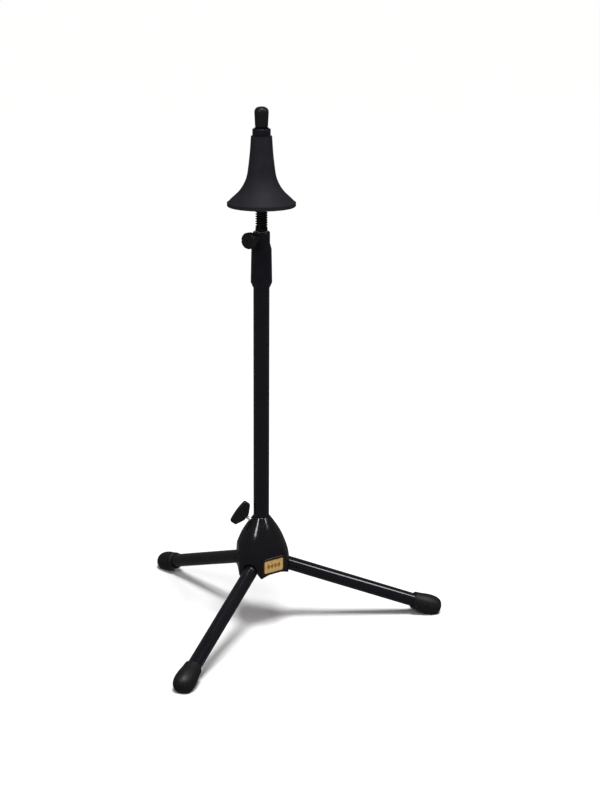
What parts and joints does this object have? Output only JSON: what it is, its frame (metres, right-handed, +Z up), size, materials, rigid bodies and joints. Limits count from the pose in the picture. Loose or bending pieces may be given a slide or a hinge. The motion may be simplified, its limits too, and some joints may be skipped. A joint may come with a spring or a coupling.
{
  "type": "trombone stand",
  "caption": "Folding tripod stand for a trombone: sprung bell cone on a height-adjustable rod, clamped mast, domed hub with fold-down legs and rubber feet.",
  "frame": {"origin": "on the floor, straight under the mast's axis", "axes": "+Z up along the mast; +X points out along the right leg, the other legs are at 120 and 240 degrees counter-clockwise seen from above; the hub clamp's wing knob is at 180 degrees"},
  "size_m": [0.4627, 0.5298, 0.8415],
  "materials": {
    "hub_gloss": "glossy injection-moulded black plastic",
    "badge_gold": "brushed gold-coloured plate with a dark red border, blank",
    "steel_plain": "zinc-plated steel",
    "tube_black": "glossy black powder coat",
    "rod_black": "satin black powder coat",
    "moulded_black": "satin moulded black plastic, finely textured",
    "nylon_pale": "natural nylon",
    "brass_insert": "turned brass",
    "screw_chrome": "bright plated M6 thread",
    "knob_black": "satin black plastic, rubbed bright on its edges",
    "cone_grey": "matt soft-touch charcoal grey",
    "tip_rubber": "smooth black rubber with a faint sheen",
    "foot_rubber": "moulded black rubber, scuffed where it stands",
    "spring_steel": "blackened spring wire"
  },
  "bodies": {
    "hub": {"hub_housing": "hub_gloss", "badge": "badge_gold", "leg_pins": "steel_plain", "hub_clamp_nut": "brass_insert"},
    "mast": {"main_tube": "tube_black", "spool": "moulded_black", "spool_plate": "moulded_black", "spool_screw": "steel_plain", "clamp_sleeve": "moulded_black", "rod_bush": "nylon_pale", "height_clamp_nut": "brass_insert"},
    "rod": {"rod": "rod_black", "rod_guide": "moulded_black", "spring_seat": "moulded_black", "stop_washer": "steel_plain", "stop_clip": "steel_plain", "tip": "tip_rubber", "cone_spring": "spring_steel"},
    "cone": {"cone_shell": "cone_grey", "cone_core": "moulded_black", "cone_base": "moulded_black", "cone_collar": "moulded_black"},
    "height_slug": {"height_clamp_slug": "nylon_pale"},
    "height_knob": {"height_clamp_screw": "screw_chrome", "height_knob": "knob_black"},
    "hub_slug": {"hub_clamp_slug": "nylon_pale"},
    "wing_knob": {"hub_clamp_screw": "screw_chrome", "wing_knob": "knob_black"},
    "leg_right": {"leg_tube_right": "tube_black", "leg_knuckle_right": "moulded_black", "leg_roll_pin_right": "steel_plain", "foot_right": "foot_rubber"},
    "leg_rear": {"leg_tube_rear": "tube_black", "leg_knuckle_rear": "moulded_black", "leg_roll_pin_rear": "steel_plain", "foot_rear": "foot_rubber"},
    "leg_front": {"leg_tube_front": "tube_black", "leg_knuckle_front": "moulded_black", "leg_roll_pin_front": "steel_plain", "foot_front": "foot_rubber"}
  },
  "joints": [
    {"name": "mast_lift", "type": "slide", "parent": "hub", "child": "mast", "axis": [0, 0, 1], "range_m": [0, 0.01835]},
    {"name": "leg_right_fold", "type": "hinge", "parent": "hub", "child": "leg_right", "pos_m": [0.029, 0, 0.105], "axis": [0, 1, 0], "range_deg": [0, 70]},
    {"name": "leg_rear_fold", "type": "hinge", "parent": "hub", "child": "leg_rear", "pos_m": [-0.0145, 0.02511, 0.105], "axis": [-0.866, -0.5, 0], "range_deg": [0, 70]},
    {"name": "leg_front_fold", "type": "hinge", "parent": "hub", "child": "leg_front", "pos_m": [-0.0145, -0.02511, 0.105], "axis": [0.866, -0.5, 0], "range_deg": [0, 70]},
    {"name": "rod_height", "type": "slide", "parent": "mast", "child": "rod", "axis": [0, 0, 1], "range_m": [0, 0.2]},
    {"name": "cone_slide", "type": "slide", "parent": "rod", "child": "cone", "axis": [0, 0, 1], "range_m": [-0.015, 0], "stiffness_N_per_m": 800, "springref_m": 0.008, "deforming": ["cone_spring"]},
    {"name": "height_slug_slide", "type": "slide", "parent": "mast", "child": "height_slug", "axis": [-0.6947, -0.7193, 0], "range_m": [0, 0.0021]},
    {"name": "height_knob_turn", "type": "hinge", "parent": "height_slug", "child": "height_knob", "pos_m": [0, 0, 0.6393], "axis": [-0.6947, -0.7193, 0], "range_deg": [0, 720]},
    {"name": "hub_slug_slide", "type": "slide", "parent": "hub", "child": "hub_slug", "axis": [-0.809, 0, 0.5878], "range_m": [0, 0.0021]},
    {"name": "wing_knob_turn", "type": "hinge", "parent": "hub_slug", "child": "wing_knob", "pos_m": [-0.0184, 0, 0.1777], "axis": [-0.809, 0, 0.5878], "range_deg": [0, 720]}
  ],
  "couplings": [
    {"joint": "leg_right_fold", "follows": "mast_lift", "rad_per_m": 66.55},
    {"joint": "leg_rear_fold", "follows": "mast_lift", "rad_per_m": 66.55},
    {"joint": "leg_front_fold", "follows": "mast_lift", "rad_per_m": 66.55},
    {"joint": "height_slug_slide", "follows": "height_knob_turn", "m_per_rad": 0.00015915},
    {"joint": "hub_slug_slide", "follows": "wing_knob_turn", "m_per_rad": 0.00015915}
  ]
}
